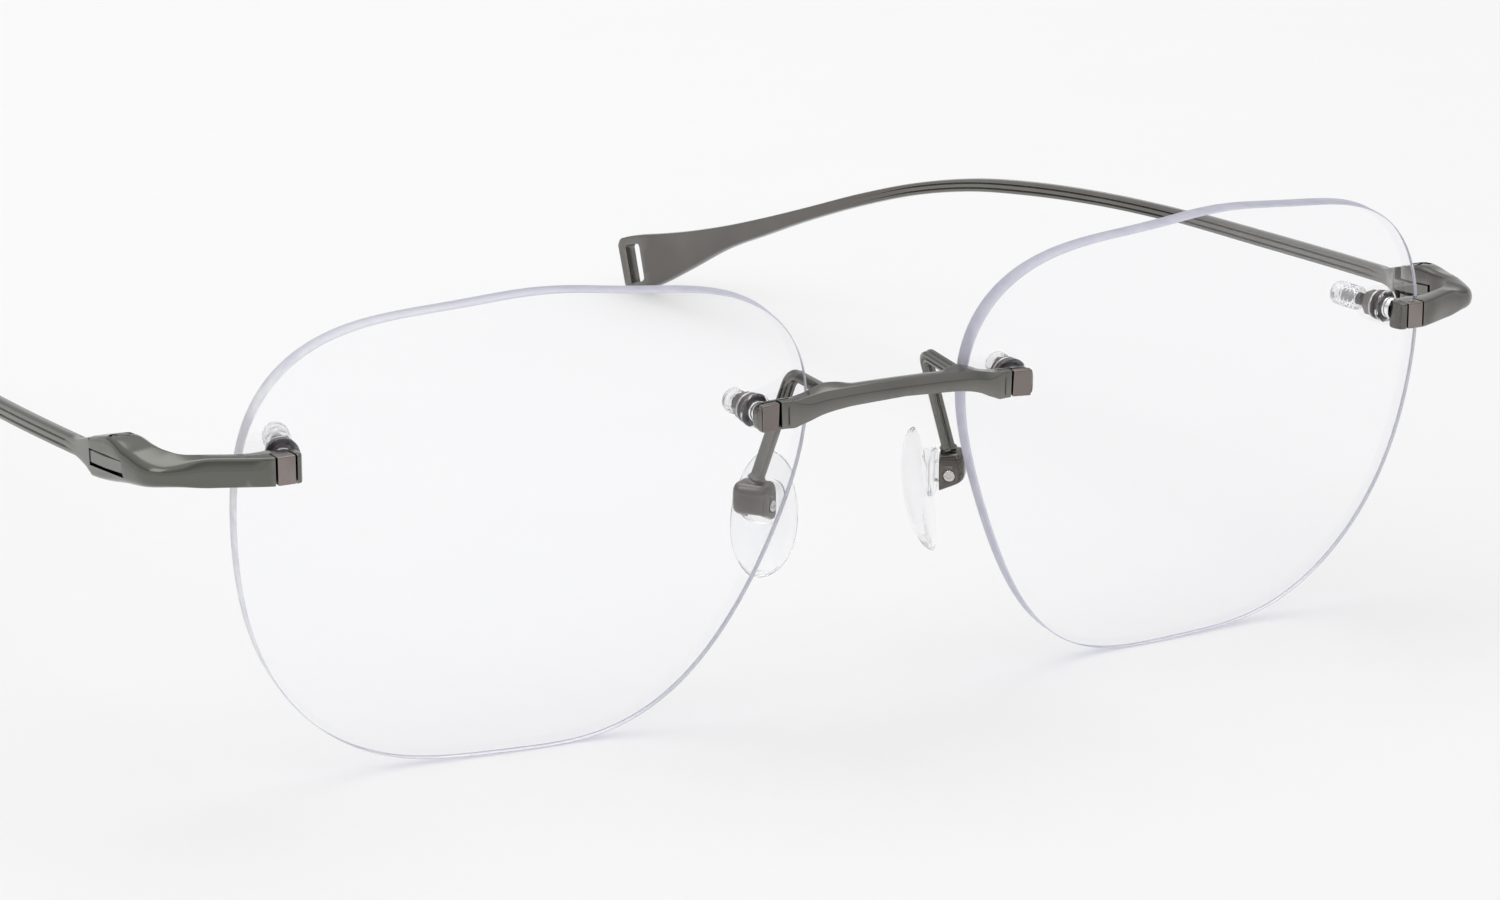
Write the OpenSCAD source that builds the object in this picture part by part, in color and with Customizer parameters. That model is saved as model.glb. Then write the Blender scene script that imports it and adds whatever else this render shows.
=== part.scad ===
// Rimless eyeglasses, standing open on their lens edges and temple tips.
// Front faces -Y, temples run towards +Y, wearer's left is +X, table is Z = 0.

/* [Lenses] */
// width of one lens
lens_width = 51.9; // [46:0.1:58]
// radius of the front and rear lens surfaces
lens_curve = 100; // [80:1:160]
// thickness of the lens, measured along its axis
lens_edge = 1.58; // [1.2:0.02:2.6]
// distance from the middle of the glasses to a lens centre
lens_offset = 34.15; // [30:0.05:38]
// angle by which each lens wraps round the face
lens_wrap = 3.9; // [0:0.1:10]
// angle by which the top of the lenses leans forward
lens_tilt = 9.3; // [0:0.1:14]
// reach of the outline from its centre, every 22.5 degrees, temple side first, then upwards
lens_reach = [25.71, 27.3, 26.18, 22.45, 21.48, 22.41, 26.5, 27.85,
              24.64, 22.86, 22.94, 22.58, 21.41, 22.84, 24.68, 25.25];

/* [Lens mounts] */
// outer mounting hole, from the lens centre: towards the temple, up
temporal_mount = [22.1, 8.45];
// inner mounting hole, from the lens centre: towards the temple, up
nasal_mount = [-21.25, 8.17];
// diameter of the hole through the lens
lens_hole = 2.0; // [1.6:0.05:2.4]
// diameter of the stud thread
stud_diameter = 1.2; // [1:0.05:1.4]
// diameter of the clear flange behind the lens
flange_diameter = 3.0; // [2.6:0.1:3.4]
// width across flats of the nut
nut_width = 2.1; // [1.9:0.05:2.6]
// outer diameter of the clear end cap
cap_diameter = 2.3; // [1.8:0.05:2.6]
// distance from the lens front to the end of the outer cap
temporal_cap_end = 7.9; // [6:0.1:9]
// distance from the lens front to the end of the inner cap
nasal_cap_end = 5.7; // [5:0.1:7]

/* [Bridge] */
// height of the bridge claws
claw_height = 2.43; // [2:0.05:3]
// thickness of the middle of the bridge, front to back
bridge_depth = 1.7; // [1.4:0.1:2.4]

/* [Hinges] */
// distance of the hinge screw from the middle of the glasses
hinge_x = 66.2; // [60:0.1:72]
// distance of the hinge screw behind the lens plane
hinge_y = 12.8; // [10:0.1:16]
// forward lean of the hinge screw
hinge_pitch = 4.5; // [0:0.1:8]
// height of the slot that holds the temple tongue
slot_height = 1.4; // [1.2:0.05:1.8]
// play above and below the tongue
tongue_play = 0.08; // [0.05:0.01:0.12]
// diameter of the hinge screw shaft
screw_diameter = 1.2; // [1:0.05:1.4]
// play between the screw shaft and the tongue, on the radius
screw_play = 0.05; // [0.02:0.01:0.1]

/* [Temples] */
// thickness of the temple, inside to outside
temple_thickness = 1.25; // [1:0.05:1.6]
// outward lean of the temple where it leaves the hinge
temple_splay = 0.06; // [0:0.005:0.1]
// how strongly the temple bows inwards
temple_bow = 0.00121; // [0.0008:0.00001:0.0016]

/* [Nose pads] */
// height of a nose pad
pad_height = 12.6; // [10:0.1:15]
// width of a nose pad
pad_width = 7; // [5:0.1:8]
// thickness of a nose pad
pad_thickness = 2.1; // [1.4:0.1:2.6]
// angle by which the lower end of the pad leans outwards
pad_lean = 10; // [5:1:25]
// diameter of the pad arm wire
arm_diameter = 1.15; // [0.9:0.05:1.4]

/* [Hidden] */
$fn = 48;
lens_plane = 77.2;
table_drop = 20.81;
stud_bore = stud_diameter + 0.1;
outline_scale = lens_width / 51.9;
mid_z = 8.17;
pad_home = [10.5, 6.75, -1.0];
pad_turn = 143.1;
pad_axis = [0.2, 0, -0.6];
box_size = [2.3, 3.5, 4.0];
hinge_home = [hinge_x, hinge_y, 7.95];
metal = "#6f6d66";
block_metal = "#85766f";
clear = "#dfe3ea";

// periodic smooth curve through the lens reaches
function wave(a) = abs(sin(a / 2)) < 0.0001 ? 1 : sin(8 * a) / (16 * tan(a / 2));
function total(v, i = 0) = i < len(v) ? v[i] + total(v, i + 1) : 0;
function reach(a) =
  outline_scale * total([for (i = [0:15]) lens_reach[i] * wave(a - 22.5 * i + 0.00007)]);

// smooth curve through stations, s from 0 to 1 between station i and the next
function station(v, i) = v[min(max(i, 0), len(v) - 1)];
function glide(v, i, s) =
  let (a = station(v, i - 1), b = station(v, i), c = station(v, i + 1), d = station(v, i + 2))
  0.5 * (2 * b + (c - a) * s + (2 * a - 5 * b + 4 * c - d) * s * s
         + (3 * b - a - 3 * c + d) * s * s * s);
function smooth(v, steps) =
  [for (i = [0:len(v) - 2]) for (k = [0:steps - 1]) glide(v, i, k / steps), v[len(v) - 1]];
function ring(c, rx, rz, a0, a1, n) = [for (i = [0:n]) let (a = a0 + (a1 - a0) * i / n)
  [c[0] + rx * cos(a), c[1] + rz * sin(a)]];

// places
module stand() translate([0, -lens_plane, table_drop]) children();
module left() stand() children();
module right() stand() mirror([1, 0, 0]) children();
module at_lens()
  translate([lens_offset, 0, 0]) rotate([lens_tilt, 0, 0]) rotate([0, 0, lens_wrap]) children();
module at_mount(m) {
  up = asin(m[1] / lens_curve);
  out = asin(m[0] / (lens_curve * cos(up)));
  at_lens() translate([0, lens_curve, 0]) rotate([-up, 0, out]) translate([0, -lens_curve, 0])
    children();
}
module at_hinge() translate(hinge_home) rotate([-hinge_pitch, 0, 0]) children();
module at_pad() translate(pad_home) rotate([0, 0, pad_turn]) children();

// solids
module rearward(from, to, d)
  translate([0, from, 0]) rotate([-90, 0, 0]) cylinder(h = to - from, d = d);
module plan(z0, z1)
  translate([0, 0, z0]) linear_extrude(height = z1 - z0) children();
module side(x0, x1)
  translate([x0, 0, 0]) rotate([90, 0, 90]) linear_extrude(height = x1 - x0) children();
module front(y0, y1)
  translate([0, y1, 0]) rotate([90, 0, 0]) linear_extrude(height = y1 - y0) children();

module lens_shape() {
  difference() {
    at_lens() difference() {
      intersection() {
        front(-6, 22) polygon([for (i = [0:119]) reach(3 * i) * [cos(3 * i), sin(3 * i)]]);
        translate([0, lens_curve, 0]) sphere(r = lens_curve, $fn = 240);
      }
      translate([0, lens_curve + lens_edge, 0]) sphere(r = lens_curve, $fn = 240);
    }
    for (m = [temporal_mount, nasal_mount]) at_mount(m) rearward(-2, 4, lens_hole);
  }
}

module temporal_head(grow, y0, y1)
  translate([56.72 - 0.8 - grow[0], y0, 8.83 - 1.22 - grow[2]])
    cube([1.6 + grow[0] + grow[1], y1 - y0, 2.44 + 2 * grow[2]]);
module nasal_head(grow, y0, y1)
  at_mount(nasal_mount) translate([-0.8 - grow[1], y0, -claw_height / 2 - grow[2]])
    cube([1.6 + grow[0] + grow[1], y1 - y0, claw_height + 2 * grow[2]]);

module stud_temporal() {
  difference() {
    temporal_head([0, 0, 0], 0.62, 2.02);
    translate([56.72, 0.2, 8.83 + 1.22]) rotate([45, 0, 0]) cube([3, 0.5, 0.5], center = true);
  }
  at_mount(temporal_mount) rearward(-1.3, temporal_cap_end - 1.1, stud_diameter);
}
module stud_nasal() {
  nasal_head([0, 0, 0], -1.12, -0.5);
  at_mount(nasal_mount) rearward(-0.8, nasal_cap_end - 1.0, stud_diameter);
}
module bush(m) at_mount(m) difference() {
  union() {
    rearward(0.04, 1.6, lens_hole - 0.1);
    rearward(1.57, 2.05, flange_diameter);
  }
  rearward(-1, 3, stud_bore);
}
module washer(m, from, to, d) at_mount(m) difference() {
  rearward(from, to, d);
  rearward(from - 1, to + 1, stud_bore);
}
module nut(m) at_mount(m) difference() {
  translate([0, 2.89, 0]) rotate([-90, 0, 0]) cylinder(h = 0.9, d = nut_width / cos(30), $fn = 6);
  rearward(2, 5, stud_bore - 0.06);
}
module cap(m, end) at_mount(m) difference() {
  union() {
    rearward(3.81, end - cap_diameter / 2, cap_diameter);
    translate([0, end - cap_diameter / 2, 0]) sphere(d = cap_diameter);
  }
  rearward(3, end - 0.9, stud_bore);
  translate([-2, 2, -2]) cube([4, 1.81, 4]);
}

module bridge_shape() {
  fore = smooth([[0, -2.7], [3, -2.68], [6, -2.52], [8, -2.1],
                 [9.9, -1.6], [11.7, -1.24], [13.4, -1.45]], 3);
  aft = [[13.9, -1.2], [13.97, -0.4], [10.7, 0.15], [9.2, 0.1], [7.6, 0.0],
         [5.6, -0.3], [4.2, -0.9], [0, bridge_depth - 2.7]];
  over = [[0, 10.3], [3, 10.27], [5, 10.2], [7.3, 9.98], [9, 9.62], [10.2, 9.42],
          [13.2, 9.39], [13.7, 9.15], [14, 8.8]];
  under = [[14, 7.5], [13.7, 7.15], [13.2, 6.96], [10.4, 6.96], [9.9, 7.14],
           [9, 7.5], [8, 7.96], [6.5, 8.37], [5, 8.57], [0, 8.8]];
  difference() {
    for (s = [0, 1]) mirror([s, 0, 0]) difference() {
      intersection() {
        plan(5, 12) polygon(concat([[0, -2.7]], fore, aft));
        front(-4, 2) polygon(concat(over, under));
      }
      at_mount(nasal_mount) translate([-4, -0.02, -4]) cube([8, 3, 8]);
      nasal_head([0.1, 0.2, 1], -2, -0.42);
      at_mount(nasal_mount) rearward(-3, 3, stud_bore);
      translate([-0.1, -2.9, 9.95]) rotate([38, 0, 0]) translate([0, -1, 0]) cube([8.6, 1, 1.4]);
    }
  }
}

module endpiece_shape() {
  outer = [[55.18, 1.0], [55.3, 0.72], [55.6, 0.6], [57.6, 0.6], [58.6, 1.0],
           [60, 1.75], [62.4, 3.05], [64.6, 4.05], [65.8, 4.68], [66.6, 5.4],
           [67.1, 6.4], [67.4, 7.8], [67.6, 9.5], [67.9, 17]];
  inner = concat([[66.5, 17]], ring([66.5, 14.4], 1.6, 2.4, 90, 180, 6),
                 [[64.9, 8.2], [64.75, 7.2], [64.4, 6.2], [63.8, 5.35],
                  [58.75, 3.0], [57.75, 3.45], [55.18, 2.66]]);
  over = [[0.3, 10.05], [4.2, 9.98], [5.6, 10.0], [7.0, 10.15], [8.6, 10.4],
          [11, 10.48], [16.1, 9.5], [17, 9.25]];
  under = [[17, 6.1], [15.9, 5.95], [9.5, 6.65], [6.6, 7.0], [4.6, 7.32],
           [3.4, 7.42], [2, 7.5], [0.3, 7.56]];
  difference() {
    intersection() {
      plan(4, 13) polygon(concat(outer, inner));
      side(50, 70) polygon(concat(over, under));
    }
    at_mount(temporal_mount) translate([-4, -0.02, -4]) cube([5.7, 3, 8]);
    temporal_head([0.1, 0.2, 1], 0, 2.12);
    at_mount(temporal_mount) rearward(-3, 3, stud_bore);
    at_hinge() {
      translate([-5, -3.2, -slot_height / 2]) cube([10, 12, slot_height]);
      translate([0, 0, -4]) cylinder(h = 8, d = screw_diameter);
      translate([0, 0, 1.85]) cylinder(h = 3, d = 2.2);
      translate([-5, 3.8, -4]) cube([10, 3, 8]);
    }
  }
}

module hinge_screw_shape() at_hinge() difference() {
  union() {
    translate([0, 0, -1.45]) cylinder(h = 3.4, d = screw_diameter);
    translate([0, 0, 1.86]) cylinder(h = 0.34, d = 2.05);
  }
  translate([-1.5, -0.15, 2.06]) cube([3, 0.3, 1]);
}

module temple_shape() {
  half = slot_height / 2 - tongue_play;
  tops = smooth([[19.7, 8.27], [42, 7.4], [60, 6.75], [72, 6.05], [84, 4.95],
                 [94, 3.55], [104, 1.35], [114, -1.62], [124, -5.05], [131, -7.4],
                 [138, -9.6], [145, -11.5], [150, -12.65], [153.4, -13.35]], 3);
  lows = smooth([[154.2, -20.75], [150, -18.95], [145, -16.2], [138, -12.5], [131, -9.55],
                 [124, -6.7], [114, -3.1], [104, -0.08], [94, 2.1], [84, 3.45],
                 [72, 4.6], [60, 5.32], [42, 5.85], [19.7, 6.73]], 3);
  tip = [[156.3, -14.2], [157, -14.6], [157.1, -15.1], [155.75, -20.3],
         [155.45, -20.72], [155, -20.81]];
  span = [for (i = [0:46]) 19.7 + i * 3];
  bend = function (y) 67.2 + temple_splay * (y - 20.3) - temple_bow * (y - 20.3) * (y - 20.3);
  intersection() {
    plan(-24, 12) polygon(concat(
      [for (y = span) [bend(y) - temple_thickness / 2, y]],
      [for (i = [46:-1:0]) [bend(span[i]) + temple_thickness / 2, span[i]]]));
    difference() {
      side(40, 75) polygon(concat(tops, tip, lows));
      side(40, 75) polygon([[153.1, -14.25], [155.55, -14.95], [154.35, -19.9], [152.0, -18.8]]);
    }
  }
  at_hinge() {
    intersection() {
      plan(-3, 3) polygon([[1.68, 3.88], [1.66, 7.3], [0.36, 7.3], [-0.75, 4.4], [-0.75, 3.88]]);
      side(-3, 3) polygon([[3.88, 1.58], [4.3, 1.52], [7.3, 0.92], [7.3, -0.64],
                           [4.9, -1.15], [4.2, -1.45], [3.88, -1.45]]);
    }
    difference() {
      plan(-half, half) polygon(concat(
        [[1.43, -3.1], [1.68, 4.2], [-0.7, 4.2], [-1.0, 3.4], [-1.1, 2]],
        [for (a = [-20.8:5.2:0]) 3.1 * [sin(a), -cos(a)]]));
      translate([0, 0, -2]) cylinder(h = 4, d = screw_diameter + 2 * screw_play);
    }
  }
}

// bent flat wire: straight from the bridge, one bend, then straight down to the pad box
module pad_arm_shape() {
  root = [6.6, -0.75, 9.5];
  corner = [6.95, 6.05, 9.98];
  foot = [10.15, 6.9, 0.15];
  radius = 1.3;
  half = arm_diameter / 2;
  reach_back = norm(corner - root);
  drop = norm(foot - corner);
  u = (corner - root) / reach_back;
  v = (foot - corner) / drop;
  turn = acos(u * v);
  w = (v - (u * v) * u) / sin(turn);
  n = cross(u, w);
  setback = radius * tan(turn / 2);
  along = [cos(turn), sin(turn)];
  across = [sin(turn), -cos(turn)];
  outer = ring([-setback, radius], radius + half, radius + half, -90, turn - 90, 8);
  inner = ring([-setback, radius], radius - half, radius - half, turn - 90, -90, 8);
  difference() {
    multmatrix([[u[0], w[0], n[0], corner[0]], [u[1], w[1], n[1], corner[1]],
                [u[2], w[2], n[2], corner[2]], [0, 0, 0, 1]])
      plan(-half, half) polygon(concat(
        [[-reach_back, -half]], outer,
        [drop * along + half * across, drop * along - half * across], inner,
        [[-reach_back, half]]));
    plan(8, 12) polygon([[4, -2], [9.2, -2], [9.2, 0.1], [7.6, 0.0], [5.6, -0.3], [4.2, -0.9]]);
    translate([8, 5, -1]) cube([4, 4, 1.35]);
  }
}

module pad_box_shape() at_pad() difference() {
  intersection() {
    plan(-2, 2) polygon(concat(
      ring([-0.75, -1.15], 0.4, 0.6, 180, 270, 4), ring([0.95, -1.55], 0.2, 0.2, 270, 360, 3),
      ring([0.95, 1.55], 0.2, 0.2, 0, 90, 3), ring([-0.75, 1.15], 0.4, 0.6, 90, 180, 4)));
    side(-2, 2) polygon(concat(
      ring([-1.15, 0.75], 0.6, 0.6, 180, 90, 5), ring([1.15, 0.75], 0.6, 0.6, 90, 0, 5),
      [[1.75, -1.6], [1.5, -1.9], [0.6, -2], [-0.6, -2], [-1.5, -1.9], [-1.75, -1.6]]));
  }
  translate([-0.8, -1.05, -3]) cube([4, 2.1, 3.6]);
  translate(pad_axis) rotate([90, 0, 0]) cylinder(h = 6, d = 0.8, center = true);
}

module pad_screw_shape() at_pad() translate(pad_axis) {
  rotate([90, 0, 0]) cylinder(h = 3.3, d = 0.8, center = true);
  difference() {
    translate([0, 2.05, 0]) rotate([90, 0, 0]) cylinder(h = 0.29, d = 1.25);
    translate([0, 2.0, 0]) cube([2, 0.2, 0.2], center = true);
  }
  translate([0, 1.6, 0]) rotate([-90, 0, 0]) cylinder(h = 0.3, d = 0.8);
}

module nose_pad_shape() at_pad() {
  difference() {
    union() {
      intersection() {
        union() {
          translate(pad_axis) rotate([90, 0, 0]) cylinder(h = 1.9, d = 1.8, center = true);
          translate([0.2, -0.95, -1.5]) cube([1.6, 1.9, 1.8]);
        }
        translate([-1, -0.95, -3]) cube([5, 1.9, 5]);
      }
      side(1.6, 2.2) polygon(concat(
        ring([-1.3, 0.5], 0.9, 0.9, 180, 90, 5), ring([1.3, 0.5], 0.9, 0.9, 90, 0, 5),
        ring([1.3, -1.95], 0.9, 0.9, 0, -90, 5), ring([-1.3, -1.95], 0.9, 0.9, -90, -180, 5)));
      side(2.1, 3.2) polygon(ring([0, -0.6], 1.4, 2, 0, 345, 23));
    }
    translate(pad_axis) rotate([90, 0, 0]) cylinder(h = 6, d = 0.9, center = true);
  }
  translate([2.45, 0, -1.4]) rotate([0, pad_lean, 0]) intersection() {
    side(0, 4) polygon([for (a = [0:9:351])
      [pad_width / 2 * cos(a) * (1 - 0.12 * sin(a)), pad_height / 2 * sin(a) - 0.9]]);
    translate([pad_thickness - 13, 0, -0.9]) sphere(r = 13, $fn = 120);
    translate([28, 0, -0.9]) sphere(r = 28, $fn = 160);
  }
}

// sub-parts
module lens_left() color(clear, 0.4) left() lens_shape();
module lens_right() color(clear, 0.4) right() lens_shape();
module bridge() color(metal) stand() bridge_shape();
module endpiece_left() color(metal) left() endpiece_shape();
module endpiece_right() color(metal) right() endpiece_shape();
module stud_temporal_left() color(block_metal) left() stud_temporal();
module stud_temporal_right() color(block_metal) right() stud_temporal();
module stud_nasal_left() color(block_metal) left() stud_nasal();
module stud_nasal_right() color(block_metal) right() stud_nasal();
module bush_temporal_left() color(clear, 0.6) left() bush(temporal_mount);
module bush_temporal_right() color(clear, 0.6) right() bush(temporal_mount);
module bush_nasal_left() color(clear, 0.6) left() bush(nasal_mount);
module bush_nasal_right() color(clear, 0.6) right() bush(nasal_mount);
module dark_washer_temporal_left() color("#241d24") left() washer(temporal_mount, 2.06, 2.62, 2.8);
module dark_washer_temporal_right() color("#241d24") right() washer(temporal_mount, 2.06, 2.62, 2.8);
module dark_washer_nasal_left() color("#241d24") left() washer(nasal_mount, 2.06, 2.62, 2.8);
module dark_washer_nasal_right() color("#241d24") right() washer(nasal_mount, 2.06, 2.62, 2.8);
module metal_washer_temporal_left() color("#b9b8b2") left() washer(temporal_mount, 2.63, 2.88, 2.7);
module metal_washer_temporal_right() color("#b9b8b2") right() washer(temporal_mount, 2.63, 2.88, 2.7);
module metal_washer_nasal_left() color("#b9b8b2") left() washer(nasal_mount, 2.63, 2.88, 2.7);
module metal_washer_nasal_right() color("#b9b8b2") right() washer(nasal_mount, 2.63, 2.88, 2.7);
module nut_temporal_left() color(metal) left() nut(temporal_mount);
module nut_temporal_right() color(metal) right() nut(temporal_mount);
module nut_nasal_left() color(metal) left() nut(nasal_mount);
module nut_nasal_right() color(metal) right() nut(nasal_mount);
module cap_temporal_left() color(clear, 0.6) left() cap(temporal_mount, temporal_cap_end);
module cap_temporal_right() color(clear, 0.6) right() cap(temporal_mount, temporal_cap_end);
module cap_nasal_left() color(clear, 0.6) left() cap(nasal_mount, nasal_cap_end);
module cap_nasal_right() color(clear, 0.6) right() cap(nasal_mount, nasal_cap_end);
module pad_arm_left() color(metal) left() pad_arm_shape();
module pad_arm_right() color(metal) right() pad_arm_shape();
module pad_box_left() color(metal) left() pad_box_shape();
module pad_box_right() color(metal) right() pad_box_shape();
module pad_screw_left() color("#c9c6bf") left() pad_screw_shape();
module pad_screw_right() color("#c9c6bf") right() pad_screw_shape();
module nose_pad_left() color(clear, 0.6) left() nose_pad_shape();
module nose_pad_right() color(clear, 0.6) right() nose_pad_shape();
module hinge_screw_left() color(metal) left() hinge_screw_shape();
module hinge_screw_right() color(metal) right() hinge_screw_shape();
module temple_left() color(metal) left() temple_shape();
module temple_right() color(metal) right() temple_shape();

lens_left();
lens_right();
bridge();
endpiece_left();
endpiece_right();
stud_temporal_left();
stud_temporal_right();
stud_nasal_left();
stud_nasal_right();
bush_temporal_left();
bush_temporal_right();
bush_nasal_left();
bush_nasal_right();
dark_washer_temporal_left();
dark_washer_temporal_right();
dark_washer_nasal_left();
dark_washer_nasal_right();
metal_washer_temporal_left();
metal_washer_temporal_right();
metal_washer_nasal_left();
metal_washer_nasal_right();
nut_temporal_left();
nut_temporal_right();
nut_nasal_left();
nut_nasal_right();
cap_temporal_left();
cap_temporal_right();
cap_nasal_left();
cap_nasal_right();
pad_arm_left();
pad_arm_right();
pad_box_left();
pad_box_right();
pad_screw_left();
pad_screw_right();
nose_pad_left();
nose_pad_right();
hinge_screw_left();
hinge_screw_right();
temple_left();
temple_right();
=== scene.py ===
import math

import bmesh
import bpy
import numpy as np
from mathutils import Matrix, Vector


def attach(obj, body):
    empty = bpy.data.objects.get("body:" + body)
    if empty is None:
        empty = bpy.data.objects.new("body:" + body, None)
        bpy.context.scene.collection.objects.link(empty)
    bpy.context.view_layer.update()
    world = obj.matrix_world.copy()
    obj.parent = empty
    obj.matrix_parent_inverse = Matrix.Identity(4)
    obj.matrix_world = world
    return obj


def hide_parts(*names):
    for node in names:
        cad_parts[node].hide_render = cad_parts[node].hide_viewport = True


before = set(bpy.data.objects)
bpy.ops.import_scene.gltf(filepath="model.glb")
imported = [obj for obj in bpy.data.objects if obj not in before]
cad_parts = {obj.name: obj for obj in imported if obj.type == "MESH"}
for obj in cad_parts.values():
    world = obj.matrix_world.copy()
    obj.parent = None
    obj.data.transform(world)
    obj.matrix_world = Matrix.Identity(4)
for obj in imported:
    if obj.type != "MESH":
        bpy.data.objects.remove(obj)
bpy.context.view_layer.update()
print("frame loaded:", len(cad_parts), "nodes")

# Shapes are worked out in millimetres from the middle of the lens plane, then moved to the table.
mm = 0.001
toTable = Matrix.Scale(mm, 4) @ Matrix.Translation((0.0, -77.2, 20.81))
mirrorX = Matrix.Scale(-1, 4, (1, 0, 0))
wearerSides = (("left", "Left", False), ("right", "Right", True))
pinPoint = 0.0002   # radius that closes the end of a lathed shape on its axis


# Curves.
def curveThrough(table):
    # a smooth value through (t, value) pairs that never overshoots them
    rows = sorted(table)
    ts = np.array([r[0] for r in rows], float)
    vs = np.array([r[1] for r in rows], float)
    slope = np.diff(vs) / np.diff(ts)
    tangent = np.zeros_like(vs)
    tangent[0], tangent[-1] = slope[0], slope[-1]
    for i in range(1, len(vs) - 1):
        if slope[i - 1] * slope[i] > 0:
            tangent[i] = 2 * slope[i - 1] * slope[i] / (slope[i - 1] + slope[i])

    def at(t):
        i = int(np.clip(np.searchsorted(ts, t) - 1, 0, len(ts) - 2))
        h = ts[i + 1] - ts[i]
        s = min(max((t - ts[i]) / h, 0.0), 1.0)
        a, b = 2 * s**3 - 3 * s**2 + 1, s**3 - 2 * s**2 + s
        c, d = -2 * s**3 + 3 * s**2, s**3 - s**2
        return float(a * vs[i] + b * h * tangent[i] + c * vs[i + 1] + d * h * tangent[i + 1])

    return at


def glide(rows, step):
    # smooth in-between rows, spaced by about step along the first two columns
    pts = [np.array(r, float) for r in rows]
    out = []
    for i in range(len(pts) - 1):
        a, b = pts[max(i - 1, 0)], pts[i]
        c, d = pts[i + 1], pts[min(i + 2, len(pts) - 1)]
        ta = float(np.linalg.norm((b - a)[:2])) ** 0.5 or 1e-6
        tb = float(np.linalg.norm((c - b)[:2])) ** 0.5 or 1e-6
        tc = float(np.linalg.norm((d - c)[:2])) ** 0.5 or 1e-6
        m1 = (c - b) + tb * ((b - a) / ta - (c - a) / (ta + tb)) if i > 0 else (c - b)
        m2 = (c - b) + tb * ((d - c) / tc - (d - b) / (tb + tc)) if i < len(pts) - 2 else (c - b)
        count = max(1, int(round(float(np.linalg.norm((c - b)[:2])) / step)))
        for k in range(count):
            s = k / count
            out.append((2 * s**3 - 3 * s**2 + 1) * b + (s**3 - 2 * s**2 + s) * m1
                       + (-2 * s**3 + 3 * s**2) * c + (s**3 - s**2) * m2)
    out.append(pts[-1])
    return out


def smoothStep(t, low, high):
    s = min(max((t - low) / (high - low), 0.0), 1.0)
    return s * s * (3 - 2 * s)


def roundCorners(corners, radii, steps=3):
    # a closed outline with each corner turned into a short arc
    n = len(corners)
    out = []
    for i, p in enumerate(corners):
        p = Vector(p)
        before, after = Vector(corners[i - 1]) - p, Vector(corners[(i + 1) % n]) - p
        a = p + before.normalized() * min(radii[i], before.length * 0.46)
        b = p + after.normalized() * min(radii[i], after.length * 0.46)
        for k in range(steps + 1):
            s = k / steps
            out.append((1 - s) ** 2 * a + 2 * s * (1 - s) * p + s * s * b)
    return out


# Meshes.
def loft(sections, ring=False):
    # skin through loops with equal point counts; ring joins the last loop to the first
    bm = bmesh.new()
    loops = [[bm.verts.new(p) for p in s] for s in sections]
    pairs = list(zip(loops, loops[1:] + loops[:1])) if ring else list(zip(loops, loops[1:]))
    for a, b in pairs:
        for i in range(len(a)):
            j = (i + 1) % len(a)
            bm.faces.new((a[i], a[j], b[j], b[i]))
    if not ring:
        bm.faces.new(list(reversed(loops[0])))
        bm.faces.new(loops[-1])
    bmesh.ops.recalc_face_normals(bm, faces=bm.faces)
    return bm


def lathe(profile, sides=32):
    # profile holds (distance along +Y, radius); one that starts and ends off the axis closes on itself
    around = [2 * math.pi * i / sides for i in range(sides)]
    sections = [[Vector((r * math.cos(a), y, r * math.sin(a))) for a in around] for y, r in profile]
    return loft(sections, ring=profile[0][1] > pinPoint)


def rod(low, high, radius, sides=32):
    return lathe([(low, pinPoint), (low, radius), (high, radius), (high, pinPoint)], sides)


def plate(outline, low, high, bevel):
    # a flat plate over an XY outline, with a small chamfer at both faces
    pts = [Vector((p[0], p[1])) for p in outline]
    n = len(pts)
    inset = []
    for i, p in enumerate(pts):
        a, b = (p - pts[i - 1]).normalized(), (pts[(i + 1) % n] - p).normalized()
        side = Vector((-(a.y + b.y), a.x + b.x))
        inset.append(p + side.normalized() * bevel)
    area = sum(pts[i - 1].cross(pts[i]) for i in range(n))
    if area < 0:
        inset = [2 * p - q for p, q in zip(pts, inset)]
    levels = [(inset, low), (pts, low + bevel), (pts, high - bevel), (inset, high)]
    return loft([[Vector((p.x, p.y, z)) for p in ring] for ring, z in levels])


def moved(bm, matrix):
    bmesh.ops.transform(bm, matrix=matrix, verts=bm.verts)
    return bm


def boxBetween(low, high):
    bm = bmesh.new()
    bmesh.ops.create_cube(bm, size=1.0)
    low, high = Vector(low), Vector(high)
    size = high - low
    bmesh.ops.transform(bm, verts=bm.verts,
                        matrix=Matrix.Translation((low + high) / 2) @ Matrix.Diagonal((*size, 1)))
    return bm


def rounded(bm, width):
    bmesh.ops.bevel(bm, geom=bm.edges[:], offset=width, segments=3, profile=0.6, affect="EDGES")
    return bm


def scratchObject(bm, name="scratch"):
    mesh = bpy.data.meshes.new(name)
    bm.to_mesh(mesh)
    bm.free()
    obj = bpy.data.objects.new(name, mesh)
    bpy.context.scene.collection.objects.link(obj)
    return obj


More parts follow.
